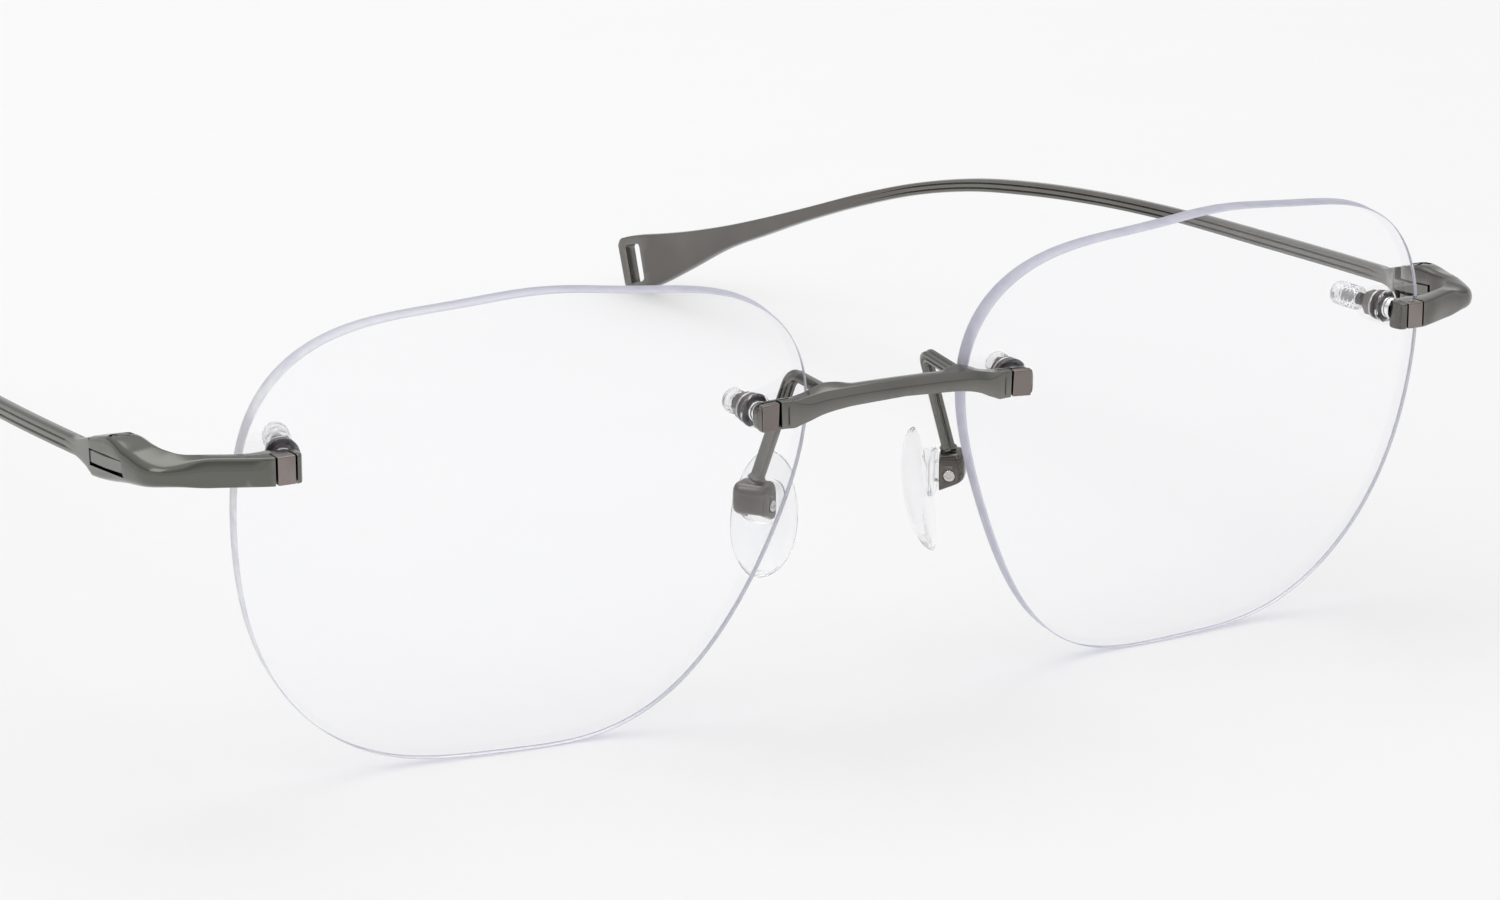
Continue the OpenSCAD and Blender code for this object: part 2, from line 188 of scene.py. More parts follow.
def carve(base, cutters=(), additions=()):
    # exact booleans, applied one after another, returned as a bmesh
    obj = scratchObject(base)
    tools = []
    for operation, group in (("UNION", additions), ("DIFFERENCE", cutters)):
        for bm in group:
            tool = scratchObject(bm, "tool")
            tools.append(tool)
            mod = obj.modifiers.new("cut", "BOOLEAN")
            mod.operation, mod.object, mod.solver = operation, tool, "EXACT"
    bpy.context.view_layer.update()
    mesh = bpy.data.meshes.new_from_object(obj.evaluated_get(bpy.context.evaluated_depsgraph_get()))
    out = bmesh.new()
    out.from_mesh(mesh)
    # flat faces round a hole become plain triangles
    bmesh.ops.triangulate(out, faces=[f for f in out.faces if len(f.verts) > 4])
    for o in [obj, *tools]:
        old = o.data
        bpy.data.objects.remove(o)
        bpy.data.meshes.remove(old)
    bpy.data.meshes.remove(mesh)
    return out


def copyOf(bm, mirror):
    out = bm.copy()
    if mirror:
        moved(out, mirrorX)
        bmesh.ops.reverse_faces(out, faces=out.faces)
    return out


def finish(name, bm, body, nodes, slotName, materials, sharp=32, normalFrom=None):
    # millimetres to the row frame, then ride, replace and paint
    bmesh.ops.remove_doubles(bm, verts=bm.verts, dist=0.0004)
    bmesh.ops.dissolve_degenerate(bm, edges=bm.edges, dist=0.0003)
    moved(bm, toTable)
    mesh = bpy.data.meshes.new(name)
    bm.to_mesh(mesh)
    bm.free()
    for m in materials:
        mesh.materials.append(m)
    mesh.shade_smooth()
    mesh.set_sharp_from_angle(angle=math.radians(sharp))
    obj = bpy.data.objects.new(name, mesh)
    bpy.context.scene.collection.objects.link(obj)
    if normalFrom:
        normalFrom(mesh)
    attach(obj, body)
    if nodes:
        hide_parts(*nodes)


def bothSides(stem, bm, body, nodeStem, slotName, materials, **more):
    # the same piece on the wearer's left, and mirrored on the right
    for sideName, tag, mirror in wearerSides:
        rides = body if body == "front" else f"{body}_{sideName}"
        nodes = [f"{nodeStem}_{sideName}"] if nodeStem else []
        finish(stem + tag, copyOf(bm, mirror), rides, nodes, slotName, materials, **more)
    bm.free()


# Material maths.
class Sock:
    # a socket that works in Python expressions; each operator adds a Math node
    def __init__(self, tree, socket):
        self.tree, self.socket = tree, socket

    def maths(self, operation, a, b=None, c=None):
        node = self.tree.nodes.new("ShaderNodeMath")
        node.operation = operation
        for i, v in enumerate((a, b, c)):
            if isinstance(v, Sock):
                self.tree.links.new(v.socket, node.inputs[i])
            elif v is not None:
                node.inputs[i].default_value = v
        return Sock(self.tree, node.outputs[0])

    def __add__(self, other): return self.maths("ADD", self, other)
    def __radd__(self, other): return self.maths("ADD", other, self)
    def __sub__(self, other): return self.maths("SUBTRACT", self, other)
    def __rsub__(self, other): return self.maths("SUBTRACT", other, self)
    def __mul__(self, other): return self.maths("MULTIPLY", self, other)
    def __rmul__(self, other): return self.maths("MULTIPLY", other, self)
    def clamp(self): return self.maths("MAXIMUM", self.maths("MINIMUM", self, 1.0), 0.0)
    def above(self, low, high): return ((self - low) * (1.0 / (high - low))).clamp()


class Paint:
    # the node tree of a material or a world, with one method for any node
    def __init__(self, home, end="OutputMaterial", coords="Object"):
        home.use_nodes = True
        self.home, self.tree = home, home.node_tree
        self.tree.nodes.clear()
        self.out = self.node(end)
        self.place = self.node("TexCoord").outputs[coords]

    def node(self, kind, settings=None, **inputs):
        # a socket is given by its name, or as i and its number where names repeat
        made = self.tree.nodes.new("ShaderNode" + kind)
        for key, value in (settings or {}).items():
            if key == "stops":
                ramp = made.color_ramp.elements
                while len(ramp) < len(value):
                    ramp.new(0.5)
                for stop, (where, colour) in zip(ramp, value):
                    stop.position, stop.color = where, colour
            else:
                setattr(made, key, value)
        for key, value in inputs.items():
            numbered = key[0] == "i" and key[1:].isdigit()
            socket = made.inputs[int(key[1:]) if numbered else key.replace("_", " ")]
            if isinstance(value, Sock):
                value = value.socket
            if isinstance(value, bpy.types.NodeSocket):
                self.tree.links.new(value, socket)
            else:
                socket.default_value = value
        return made

    def value(self, kind, output, settings=None, **inputs):
        return Sock(self.tree, self.node(kind, settings, **inputs).outputs[output])

    def noise(self, scale, detail=3.0, rough=0.55, stretch=None):
        where = self.place
        if stretch:
            where = self.node("Mapping", Vector=where, Scale=stretch).outputs[0]
        return self.value("TexNoise", "Fac", Vector=where, Scale=scale, Detail=detail, Roughness=rough)

    def blend(self, factor, a, b):
        a, b = ((*v, 1.0) if isinstance(v, tuple) else v for v in (a, b))
        return self.value("Mix", 2, {"data_type": "RGBA"}, i0=factor, i6=a, i7=b)

    def bump(self, height, strength, distance):
        return self.node("Bump", Height=height, Strength=strength, Distance=distance).outputs[0]

    def surface(self, shader):
        self.tree.links.new(shader.outputs[0], self.out.inputs[0])
        return self.home

    def lampsThrough(self, shader):
        # rays from lamps pass, so that what stands behind clear parts stays lit
        fromLamp = self.node("LightPath").outputs["Is Shadow Ray"]
        clear = self.node("BsdfTransparent")
        return self.surface(self.node("MixShader", i0=fromLamp, i1=shader.outputs[0], i2=clear.outputs[0]))


def newPaint(name):
    return Paint(bpy.data.materials.new(name))


metalLook = {
    # the plain tone, the darker drift and the lighter worn edge
    "gunmetal": ((0.150, 0.149, 0.134), (0.125, 0.116, 0.109), (0.26, 0.255, 0.235)),
    # temple: the same gunmetal painted lighter, a painted highlight standing in for light on the temples
    "temple": ((0.180, 0.179, 0.162), (0.150, 0.140, 0.131), (0.28, 0.275, 0.255)),
    # box: the same gunmetal painted darker, a painted shade for the shaded pad boxes
    "box": ((0.108, 0.098, 0.088), (0.080, 0.070, 0.063), (0.30, 0.275, 0.25)),
    "warm": ((0.205, 0.178, 0.165), (0.165, 0.143, 0.134), (0.33, 0.29, 0.27)),
    "stub": ((0.080, 0.058, 0.056), (0.045, 0.034, 0.034), (0.20, 0.165, 0.155)),
    "bright": ((0.58, 0.565, 0.54), (0.42, 0.41, 0.395), (0.78, 0.77, 0.74)),
}


def plated(name, key, roughness, grain):
    # plated metal: faint drifting tone, worn light edges, fine polishing lines
    p = newPaint(name)
    plain, dark, worn = metalLook[key]
    drift = p.noise(45.0, 4.0)
    fine = p.noise(3200.0, 3.0)
    lines = p.noise(1400.0, 2.0, 0.6, stretch=(5.0, 0.3, 5.0))
    edge = p.value("NewGeometry", "Pointiness").above(0.52, 0.62)
    colour = p.blend(drift.above(0.38, 0.56), dark, plain)
    colour = p.blend(edge * (0.3 + 0.5 * fine), colour, worn)
    rough = roughness + 0.10 * (drift - 0.5) + 0.05 * (lines - 0.5) + 0.03 * (fine - 0.5)
    normal = p.bump(lines * 0.7 + fine * 0.3, grain, 0.000006)
    return p.surface(p.node("BsdfPrincipled", Base_Color=colour, Metallic=1.0, Roughness=rough.clamp(),
                            Normal=normal))


def clearMoulding(name, tint, roughness, ior, mist, haze, through=1.0):
    # clear moulded plastic: a faint cloudy tint, soft moulding ripple
    p = newPaint(name)
    cloud = p.noise(420.0, 3.0)
    ripple = p.noise(900.0, 2.0)
    colour = p.blend(cloud.above(0.35, 0.7), tint, mist)
    rough = roughness + haze * (cloud - 0.4)
    shader = p.node("BsdfPrincipled", Base_Color=colour, Roughness=rough.clamp(), IOR=ior,
                    Transmission_Weight=through, Normal=p.bump(ripple, 0.12, 0.00001))
    return p.lampsThrough(shader)


gunmetal = plated("satinGunmetal", "gunmetal", 0.18, 0.10)
# a lit copy of the gunmetal for the temples: painted highlight
gunmetalPaintedLighter = plated("satinGunmetalPaintedLighter", "temple", 0.19, 0.10)
# a shaded copy of the gunmetal for the pad boxes: painted shade
gunmetalPaintedDarker = plated("gunmetalPaintedShadeBox", "box", 0.15, 0.07)
warmMetal = plated("warmStudMetal", "warm", 0.22, 0.10)
stubMetal = plated("darkStudThread", "stub", 0.26, 0.10)
brightMetal = plated("brightSteel", "bright", 0.18, 0.08)
clearCap = clearMoulding("clearCapPlastic", (0.97, 0.97, 0.975), 0.11, 1.36, (0.93, 0.93, 0.95), 0.10, 0.87)
clearBush = clearMoulding("clearBushPlastic", (0.985, 0.985, 0.99), 0.03, 1.40, (0.95, 0.95, 0.96), 0.06)
clearPad = clearMoulding("clearPadSilicone", (0.985, 0.985, 0.99), 0.20, 1.11, (0.965, 0.968, 0.97),
                         0.06, 0.86)
clearBoss = clearMoulding("clearPadBoss", (0.985, 0.985, 0.99), 0.09, 1.32, (0.955, 0.96, 0.965), 0.08, 0.86)


def lensFaceMaterial():
    p = newPaint("polishedLensFace")
    dust = p.noise(1500.0, 2.0).above(0.70, 0.82)
    smear = p.noise(60.0, 3.0)
    rough = 0.012 * smear.above(0.55, 0.8) + 0.02 * dust
    colour = p.blend(smear, (0.996, 0.996, 1.0), (0.992, 0.993, 0.998))
    shader = p.node("BsdfPrincipled", Base_Color=colour, Roughness=rough.clamp(), IOR=1.50,
                    Transmission_Weight=1.0)
    return p.lampsThrough(shader)


def lensEdgeMaterial():
    p = newPaint("groundLensEdge")
    around = p.noise(700.0, 3.0)
    # painted highlight: the wearer's right lens (nearer the camera) has a pale grey ground edge on its outer
    # side, fading to lavender towards the nose; the other lens stays lavender
    paintedHighlightAcross = p.value("SeparateXYZ", 0, Vector=p.place).above(-0.064, -0.030)
    toneWithPaintedHighlight = p.blend(paintedHighlightAcross, (0.86, 0.87, 0.86), (0.575, 0.57, 0.70))
    colour = p.blend(around.above(0.3, 0.7), toneWithPaintedHighlight, (0.66, 0.655, 0.75))
    rough = 0.42 + 0.12 * (around - 0.5)
    shader = p.node("BsdfPrincipled", Base_Color=colour, Roughness=rough.clamp(), IOR=1.50,
                    Transmission_Weight=0.35, Normal=p.bump(around, 0.15, 0.00003))
    return p.lampsThrough(shader)


def darkWasherMaterial():
    p = newPaint("darkWasherNylon")
    mottle = p.noise(1100.0, 3.0)
    colour = p.blend(mottle, (0.018, 0.012, 0.018), (0.045, 0.03, 0.042))
    rough = 0.34 + 0.2 * (mottle - 0.5)
    return p.surface(p.node("BsdfPrincipled", Base_Color=colour, Roughness=rough.clamp(), IOR=1.53,
                            Normal=p.bump(mottle, 0.2, 0.00002)))


lensFace, lensEdge, darkWasher = lensFaceMaterial(), lensEdgeMaterial(), darkWasherMaterial()
print("materials made")

# Lens frame.
lensSpec = {"offset": 34.15, "tilt": 9.3, "wrap": 3.9, "curve": 100.0, "edge": 1.58,
            "reach": [25.71, 27.3, 26.18, 22.45, 21.48, 22.41, 26.5, 27.85,
                      24.64, 22.86, 22.94, 22.58, 21.41, 22.84, 24.68, 25.25],
            "temporal": (22.1, 8.45), "nasal": (-21.25, 8.17), "hole": 2.0, "chamfer": 0.13,
            "facing": 0.985, "holeReach": 2.6}
lensAt = (Matrix.Translation((lensSpec["offset"], 0, 0))
          @ Matrix.Rotation(math.radians(lensSpec["tilt"]), 4, "X")
          @ Matrix.Rotation(math.radians(lensSpec["wrap"]), 4, "Z"))


def mountAt(paintedHighlightAcross, up):
    # on the lens front: +Y runs back along the stud, +X towards the temple, +Z up
    rise = math.asin(up / lensSpec["curve"])
    out = math.asin(paintedHighlightAcross / (lensSpec["curve"] * math.cos(rise)))
    return (lensAt @ Matrix.Translation((0, lensSpec["curve"], 0)) @ Matrix.Rotation(out, 4, "Z")
            @ Matrix.Rotation(-rise, 4, "X") @ Matrix.Translation((0, -lensSpec["curve"], 0)))


mounts = {"temporal": mountAt(*lensSpec["temporal"]), "nasal": mountAt(*lensSpec["nasal"])}


def lensReach(angle):
    # a smooth closed outline through the sixteen reaches
    total = 0.0
    for i, r in enumerate(lensSpec["reach"]):
        a = angle - math.radians(22.5) * i + 1e-6
        wave = math.sin(8 * a) / (16 * math.tan(a / 2)) if abs(math.sin(a / 2)) > 1e-6 else 1.0
        total += r * wave
    return total


def buildLens():
    r0, edge, chamfer = lensSpec["curve"], lensSpec["edge"], lensSpec["chamfer"]
    angles = [2 * math.pi * i / 240 for i in range(240)]
    reach = [lensReach(a) for a in angles]
    # share of the reach, inset from it, distance behind the front surface
    shares = (0.02, 0.15, 0.3, 0.45, 0.6, 0.75, 0.88, 0.96)
    rows = [(f, 0.0, 0.0) for f in shares]
    rows += [(1.0, -chamfer, 0.0), (1.0, -chamfer * 0.35, chamfer * 0.3), (1.0, 0.0, chamfer)]
    rows += [(1.0, 0.0, edge - chamfer), (1.0, -chamfer * 0.35, edge - chamfer * 0.3), (1.0, -chamfer, edge)]
    rows += [(f, 0.0, edge) for f in reversed(shares)]
    sections = []
    for share, inset, back in rows:
        ring = []
        for a, r in zip(angles, reach):
            q = r * share + inset
            sag = r0 - math.sqrt(r0 * r0 - q * q)
            ring.append(Vector((q * math.cos(a), sag + back, q * math.sin(a))))
        sections.append(ring)
    holes = [moved(rod(-2, 4, lensSpec["hole"] / 2, 48), m) for m in mounts.values()]
    return carve(moved(loft(sections), lensAt), cutters=holes)


def sideFlip(mirror):
    return Vector((-1 if mirror else 1, 1, 1))


def paintLens(bm, mirror):
    # the ground edge gets the second material; faces and hole walls stay clear
    centre = lensAt @ Vector((0, lensSpec["curve"], 0))
    flip = sideFlip(mirror)
    bm.normal_update()
    for f in bm.faces:
        p, n = f.calc_center_median() * flip, f.normal * flip
        face = abs(n.dot((p - centre).normalized())) > lensSpec["facing"]
        wall = min((p - m.translation).length for m in mounts.values()) < lensSpec["holeReach"]
        f.material_index = 0 if face or wall else 1


def roundNormals(mirror):
    # face normals straight from the lens curve, so reflections run clean past the holes
    flip = sideFlip(mirror)
    fore = lensAt @ Vector((0, lensSpec["curve"], 0))
    rear = lensAt @ Vector((0, lensSpec["curve"] + lensSpec["edge"], 0))

    def apply(mesh):
        centres = [toTable @ (c * flip) for c in (fore, rear)]
        normals = [Vector((0, 0, 0))] * len(mesh.loops)
        for poly in mesh.polygons:
            if abs(poly.normal.dot((poly.center - centres[0]).normalized())) < lensSpec["facing"]:
                continue
            front = poly.normal.dot(poly.center - centres[0]) > 0
            for li in poly.loop_indices:
                p = mesh.vertices[mesh.loops[li].vertex_index].co
                normals[li] = (p - centres[0]).normalized() if front else (centres[1] - p).normalized()
        mesh.normals_split_custom_set(normals)

    return apply


lensMesh = buildLens()
for sideName, tag, mirror in wearerSides:
    bm = copyOf(lensMesh, mirror)
    paintLens(bm, mirror)
    finish("lens" + tag, bm, "front", [f"lens_{sideName}"], "lens", [lensFace, lensEdge],
           normalFrom=roundNormals(mirror))
lensMesh.free()
print("lenses built")

# Bridge.
bridgeSpec = {
    "front": [(0, -2.7), (3, -2.68), (6, -2.52), (8, -2.1), (9.9, -1.6), (11.7, -1.3), (12.9, -1.42),
              (13.5, -1.42), (13.85, -1.2), (14.0, -0.8)],
    "rear": [(0, -1.0), (4.2, -0.9), (5.6, -0.3), (7.6, 0.0), (9.2, 0.1), (10.7, 0.15), (13.6, -0.1),
             (13.9, -0.3), (14.0, -0.7)],
    "top": [(0, 10.3), (3, 10.27), (5, 10.2), (7.3, 9.98), (9, 9.62), (10.2, 9.42), (13.2, 9.39),
            (13.65, 9.2), (13.9, 8.85), (14, 8.5)],
    "bottom": [(0, 8.8), (5, 8.57), (6.5, 8.37), (8, 7.96), (9, 7.5), (9.9, 7.14), (10.4, 6.96),
               (13.2, 6.96), (13.65, 7.15), (13.9, 7.5), (14, 7.8)],
    "bevelDrop": 0.62, "bevelDepth": 0.6,
    "headWidth": (-0.84, 0.94), "headFront": -1.27, "headRear": -0.5, "slit": 0.2, "capGap": 0.04,
    "brazeLift": 0.34, "brazeAt": 6.7,
    # boxes cut into each claw, in the mount's own frame
    "topGroove": ((-2.3, -0.52, 0.7), (1.0, -0.34, 2.6)),
    "sideGroove": ((-1.70, -3, -0.8), (-1.63, -1.35, 0.75)),
}


def bridgeSection(x, f):
    ax = abs(x)
    yf, yr, zt, zb = f["front"](ax), f["rear"](ax), f["top"](ax), f["bottom"](ax)
    fade = 1 - smoothStep(ax, 8.6, 10.9)
    drop = 0.1 + (bridgeSpec["bevelDrop"] - 0.1) * fade
    depth = 0.1 + (bridgeSpec["bevelDepth"] - 0.1) * fade
    depth = min(depth, (yr - yf) * 0.6)
    lift = bridgeSpec["brazeLift"] * max(0.0, 1 - abs(ax - bridgeSpec["brazeAt"]) / 1.9) ** 0.7
    corners = [(x, yf, zb), (x, yf, zt - drop), (x, yf + depth, zt), (x, yr, zt + lift), (x, yr, zb)]
    small = 0.05 + 0.04 * fade
    return roundCorners(corners, [0.2, small, small, 0.2, 0.28], 3)


def buildBridge():
    f = {k: curveThrough(bridgeSpec[k]) for k in ("front", "rear", "top", "bottom")}
    half = [*np.arange(0, 9.0, 0.45), *np.arange(9.0, 13.2, 0.22), 13.35, 13.5, 13.65, 13.78, 13.88, 13.95]
    xs = [-x for x in reversed(half[1:])] + half
    bm = loft([bridgeSection(float(x), f) for x in xs])
    low, high = bridgeSpec["headWidth"]
    cutters = []
    for mirror in (False, True):
        flip = mirrorX if mirror else Matrix.Identity(4)
        at = flip @ mounts["nasal"]
        pieces = [boxBetween((-4, -0.02, -4), (4, 3, 4)), boxBetween(*bridgeSpec["topGroove"]),
                  boxBetween(*bridgeSpec["sideGroove"]),
                  boxBetween((low - bridgeSpec["slit"], -2.6, -2.6),
                             (high + bridgeSpec["capGap"], bridgeSpec["headRear"] + 0.08, 2.6))]
        for piece in pieces:
            moved(piece, at)
            bmesh.ops.recalc_face_normals(piece, faces=piece.faces)
            cutters.append(piece)
    return carve(bm, cutters=cutters)


finish("bridge", buildBridge(), "front", ["bridge"], "gunmetal", [gunmetal], sharp=40)
print("bridge built")

# Hinge frame.
hingeSpec = {"home": (66.2, 12.8, 7.95), "lean": 4.5, "slotHalf": 0.74, "tongueHalf": 0.58,
             "shaft": 1.2, "head": 2.05, "rearCut": 3.8, "slotFront": -3.42, "tongueFront": 2.8,
             "spotFace": (1.6, 2.35), "notch": ((-5, 2.95, 0.6), (-0.15, 7, 4))}
hingeAt = (Matrix.Translation(hingeSpec["home"])
           @ Matrix.Rotation(math.radians(-hingeSpec["lean"]), 4, "X"))
upright = Matrix.Rotation(math.radians(90), 4, "X")   # lathes run along +Y; this stands them on +Z

# Endpieces.
endpieceSpec = {
    # outer x, outer y, inner x, inner y, in plan from the claw to the hinge block
    "plan": [(55.19, 1.25, 55.19, 2.3), (55.26, 0.9, 55.26, 2.6), (55.42, 0.68, 55.42, 2.72),
             (55.7, 0.6, 55.7, 2.85), (56.6, 0.6, 56.5, 3.1), (57.6, 0.6, 57.5, 3.36),
             (58.5, 0.95, 58.2, 3.25), (60, 1.7, 59.45, 3.3), (61.2, 2.36, 60.7, 3.82),
             (62.4, 3.0, 61.8, 4.38), (63.6, 3.58, 62.8, 4.86), (64.7, 4.05, 63.6, 5.3),
             (65.8, 4.62, 64.15, 5.85), (66.6, 5.4, 64.5, 6.45), (67.08, 6.4, 64.72, 7.15),
             (67.38, 7.8, 64.85, 8.1), (67.6, 9.6, 64.9, 9.7), (67.72, 12.0, 64.9, 12.0),
             (67.82, 14.6, 64.95, 14.4), (67.86, 15.8, 65.35, 15.7), (67.9, 16.9, 66.2, 16.9)],
    "top": [(0.3, 10.05), (4.2, 9.98), (5.6, 10.0), (7.0, 10.15), (8.6, 10.4), (11, 10.48), (16.1, 9.5),
            (17, 9.25)],
    "bottom": [(0.3, 7.56), (2, 7.5), (3.4, 7.42), (4.6, 7.32), (6.6, 7.0), (9.5, 6.65), (15.9, 5.95),
               (17, 5.85)],
    "headX": (55.92, 57.52), "headFront": 0.52, "headRear": 2.02, "headZ": (7.61, 10.05),
    "headGap": (0.16, 0.18), "ridge": 0.28, "cornerDrop": 0.62, "cornerRise": 0.3,
}


def endpieceSection(row, top, bottom):
    ox, oy, ix, iy = row
    outward = Vector((ox - ix, oy - iy)).normalized()
    ridge = endpieceSpec["ridge"] * smoothStep(ox, 57.5, 59.5) * (1 - 0.6 * smoothStep(oy, 9, 13))
    zot, zob, zit, zib = top(oy), bottom(oy), top(iy), bottom(iy)
    wide = smoothStep(oy, 5.0, 9.0)
    corner = smoothStep(ox, 62.3, 66.2) * (1 - smoothStep(oy, 9.0, 13.5))
    zot -= endpieceSpec["cornerDrop"] * corner
    zob += endpieceSpec["cornerRise"] * corner
    mid = zob + (zot - zob) * (0.52 + 0.08 * wide)
    corners = [(ox, oy, zob), (ox + outward.x * ridge, oy + outward.y * ridge, mid), (ox, oy, zot),
               (ix, iy, zit), (ix, iy, zib)]
    bend = smoothStep(ox, 63.0, 66.0)
    rear = smoothStep(oy, 12.5, 15.5)
    outerTop = 0.26 + 0.6 * bend - 0.3 * rear
    outerLow = 0.26 + 0.5 * bend - 0.3 * rear
    innerTop = 0.14 + 0.72 * wide * (1 - rear) + 0.1 * rear
    return roundCorners(corners, [outerLow, 0.4, outerTop, innerTop, 0.25], 4)


def buildEndpiece():
    top, bottom = curveThrough(endpieceSpec["top"]), curveThrough(endpieceSpec["bottom"])
    rows = glide(endpieceSpec["plan"], 0.32)
    bm = loft([endpieceSection(r, top, bottom) for r in rows])
    x0, x1 = endpieceSpec["headX"]
    z0, z1 = endpieceSpec["headZ"]
    mount = mounts["temporal"]
    gap0, gap1 = endpieceSpec["headGap"]
    half = hingeSpec["slotHalf"]
    cutters = [moved(boxBetween((-4, -0.02, -4), (1.7, 3, 4)), mount),
               boxBetween((x0 - gap0, -1, z0 - 1), (x1 + gap1, endpieceSpec["headRear"] + 0.1, z1 + 1)),
               moved(boxBetween((-5, hingeSpec["slotFront"], -half), (5, 9, half)), hingeAt),
               moved(boxBetween((-5, hingeSpec["rearCut"], -4), (5, 7, 4)), hingeAt),
               moved(boxBetween(*hingeSpec["notch"]), hingeAt)]
    seatLow, seatWidth = hingeSpec["spotFace"]
    for low, high, d in ((-4, 4, hingeSpec["shaft"] + 0.02), (seatLow, 4, seatWidth)):
        cutters.append(moved(rod(low, high, d / 2), hingeAt @ upright))
    return carve(bm, cutters=cutters)


bothSides("endpiece", buildEndpiece(), "front", "endpiece", "gunmetal", [gunmetal], sharp=36)


def buildHingeScrew():
    r, h = hingeSpec["shaft"] / 2, hingeSpec["head"] / 2
    profile = [(-1.45, pinPoint), (-1.45, r - 0.1), (-1.38, r), (1.62, r), (1.62, h), (2.0, h),
               (2.1, h - 0.05), (2.17, h - 0.16), (2.2, h - 0.32), (2.16, h - 0.4), (2.18, h * 0.3),
               (2.19, pinPoint)]
    bm = moved(lathe(profile, 40), hingeAt @ upright)
    slot = moved(boxBetween((-1.5, -0.17, 2.0), (1.5, 0.17, 3)), hingeAt @ Matrix.Rotation(0.6, 4, "Z"))
    return carve(bm, cutters=[slot])


bothSides("hingeScrew", buildHingeScrew(), "front", "hinge_screw", "gunmetal", [gunmetal], sharp=30)
print("endpieces and hinge screws built")

# Temples.
templeSpec = {
    "start": 20.3, "x0": 67.2, "splay": 0.06, "bow": 0.00121, "thick": 1.25,
    # top y, top z, bottom y, bottom z in side view, from the collar to the tip
    "side": [(20.4, 8.25, 20.4, 6.71), (42, 7.4, 42, 5.85), (60, 6.75, 60, 5.32), (72, 6.05, 72, 4.6),
             (84, 4.95, 84, 3.45), (94, 3.55, 94, 2.1), (104, 1.35, 104, -0.08), (114, -1.62, 114, -3.1),
             (124, -5.05, 124, -6.7), (131, -7.4, 131, -9.55), (138, -9.6, 138, -12.5),
             (145, -11.5, 144.7, -16.2), (150, -12.65, 149.4, -18.75), (153.4, -13.35, 152.6, -20.2),
             (155.4, -13.9, 154.0, -20.7), (156.4, -14.25, 154.85, -20.8), (156.85, -14.6, 155.35, -20.72),
             (157.08, -15.1, 155.75, -20.25)],
    "slot": [(153.1, -14.35), (155.5, -15.0), (154.35, -19.85), (152.1, -18.75)],
    "groove": 0.13,
    # collar in the hinge frame: y, outer x, inner x, top z, bottom z
    "collar": [(3.88, 1.68, -0.75, 1.58, -1.45), (4.0, 1.69, -0.72, 1.57, -1.45),
               (4.3, 1.68, -0.66, 1.52, -1.42), (4.9, 1.68, -0.42, 1.4, -1.15),
               (5.7, 1.67, -0.08, 1.24, -0.95), (6.6, 1.66, 0.24, 1.06, -0.75)],
}


def templeX(y):
    t = y - templeSpec["start"]
    return templeSpec["x0"] + templeSpec["splay"] * t - templeSpec["bow"] * t * t


def barSection(outTop, outLow, inTop, inLow, groove, radius):
    # a bar's outline with two flutes along each long face
    out = []
    paintedHighlightAcross = (outTop - inTop).normalized()
    marks = [(0.24, 0), (0.31, 1), (0.38, 0), (0.62, 0), (0.69, 1), (0.76, 0)]

    def corner(p, toward, away):
        a = p + (toward - p).normalized() * min(radius, (toward - p).length * 0.23)
        b = p + (away - p).normalized() * min(radius, (away - p).length * 0.4)
        return [a, 0.25 * a + 0.5 * p + 0.25 * b, b]

    out += corner(outLow, inLow, outTop)
    out += [outLow.lerp(outTop, s) - paintedHighlightAcross * groove * dip for s, dip in marks]
    out += list(reversed(corner(outTop, inTop, outLow)))
    out += corner(inTop, outTop, inLow)
    out += [inTop.lerp(inLow, s) + paintedHighlightAcross * groove * dip for s, dip in marks]
    out += list(reversed(corner(inLow, outLow, inTop)))
    return out


def templeSections():
    sections = []
    for y, outer, inner, top, low in glide(templeSpec["collar"], 0.3):
        # the collar's underside and outside run straight into the wire
        corners = ((outer, top), (outer, low), (inner, top), (inner, low))
        pts = [hingeAt @ Vector((x, y, z)) for x, z in corners]
        sections.append(barSection(*pts, groove=0.0, radius=0.22))
    rows = glide(templeSpec["side"], 1.25)
    for yt, zt, yb, zb in rows:
        groove = templeSpec["groove"] * smoothStep(yt, 20.5, 23) * (1 - smoothStep(yt, 96, 122))
        half = templeSpec["thick"] / 2 * (1 - 0.35 * smoothStep(yt, 156.2, 157.1))
        pts = [Vector((templeX(y) + s * half, y, z)) for s in (1, -1) for y, z in ((yt, zt), (yb, zb))]
        sections.append(barSection(*pts, groove=groove, radius=0.3))
    return sections


def buildTemple():
    body = loft(templeSections())
    half = hingeSpec["tongueHalf"]
    front = hingeSpec["tongueFront"]
    outline = [(1.0, -front), (1.3, -2.56), (1.58, 0.5), (1.62, 4.3), (-0.68, 4.3), (-0.7, 4.0), (-1.0, 3.4),
               (-1.1, 2.0)]
    for a in np.radians(np.arange(-20.8, 0.1, 5.2)):
        outline.append((front * math.sin(a), -front * math.cos(a)))
    tongue = moved(plate(outline, -half, half, 0.1), hingeAt)
    ring = roundCorners([Vector((0, y, z)) for y, z in templeSpec["slot"]], [0.45] * 4, 4)
    slot = loft([[Vector((x, p.y, p.z)) for p in ring] for x in (40.0, 60.0)])
    bore = moved(rod(-2, 2, hingeSpec["shaft"] / 2 + 0.05), hingeAt @ upright)
    return carve(body, additions=[tongue], cutters=[slot, bore])


bothSides("temple", buildTemple(), "temple", "temple", "gunmetal", [gunmetalPaintedLighter], sharp=28)
print("temples built")

